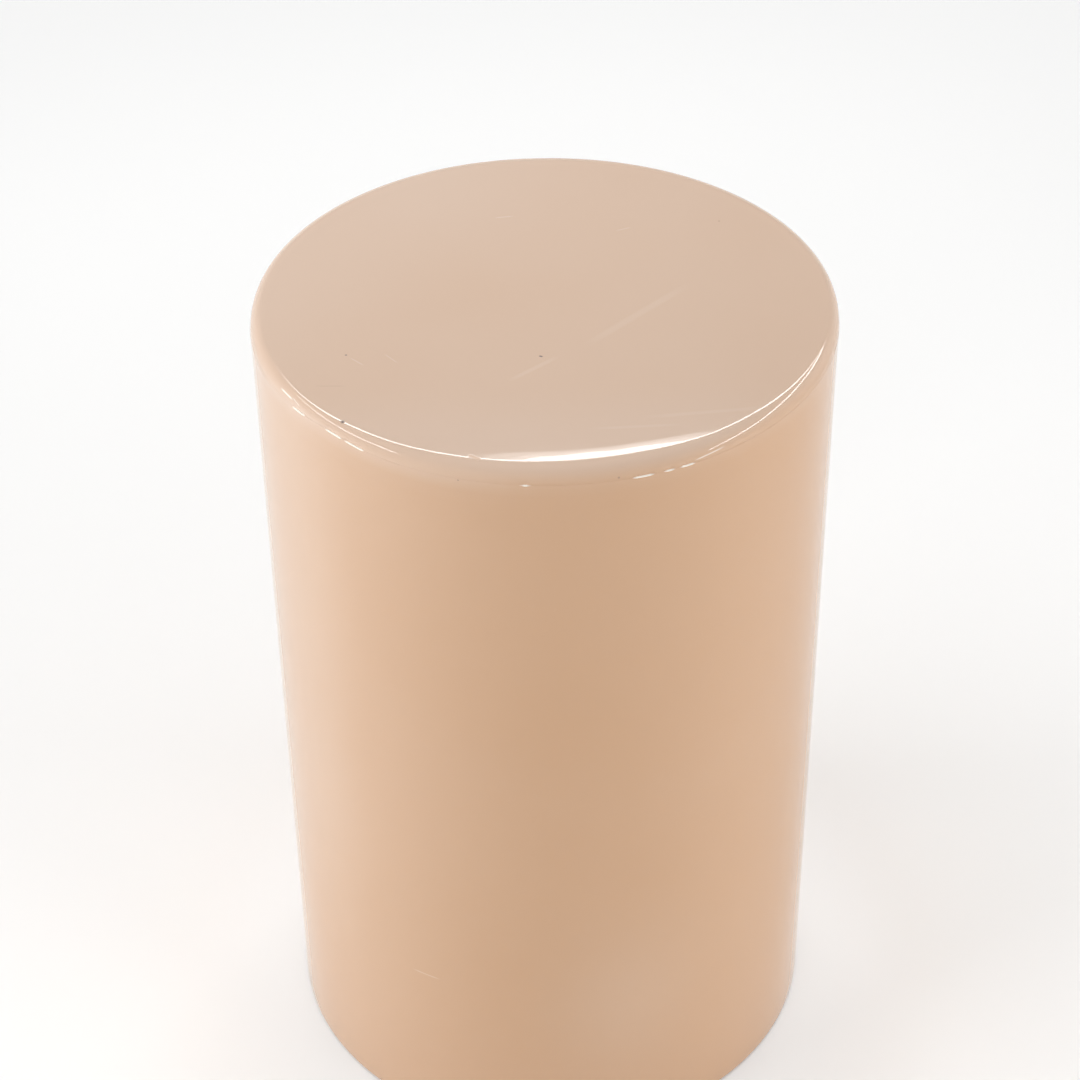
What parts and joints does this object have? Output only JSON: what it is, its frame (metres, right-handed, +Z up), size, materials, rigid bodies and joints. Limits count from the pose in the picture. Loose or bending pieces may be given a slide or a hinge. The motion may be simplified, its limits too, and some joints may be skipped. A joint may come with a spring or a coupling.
{
  "type": "pedestal side table",
  "caption": "Round drum side table with a flat quarter-round-edged top on a straight lacquered wall, built over notched former rings and posts, standing on low glides.",
  "frame": {"origin": "on the floor at the drum's axis, under the glides", "axes": "+Z up along the drum's axis, -Y towards the front, where the picture is taken from, +X to the right"},
  "size_m": [0.36, 0.3598, 0.5615],
  "materials": {
    "lacquer": "high-gloss beige lacquer over board and plywood",
    "bending_plywood": "raw bending plywood",
    "plywood": "raw birch plywood",
    "softwood": "planed softwood",
    "nylon": "moulded nylon",
    "steel": "zinc-plated steel"
  },
  "bodies": {
    "root": {"top_panel": "lacquer", "outer_skin": "lacquer", "inner_skin": "bending_plywood", "upper_ring": "plywood", "middle_ring": "plywood", "lower_ring": "plywood", "base_panel": "plywood", "post_front": "softwood", "post_right": "softwood", "post_back": "softwood", "post_left": "softwood", "glide_front": "nylon", "glide_right": "nylon", "glide_back": "nylon", "glide_left": "nylon", "top_screws": "steel", "post_screws": "steel", "base_screws": "steel", "glide_screws": "steel"}
  },
  "joints": []
}
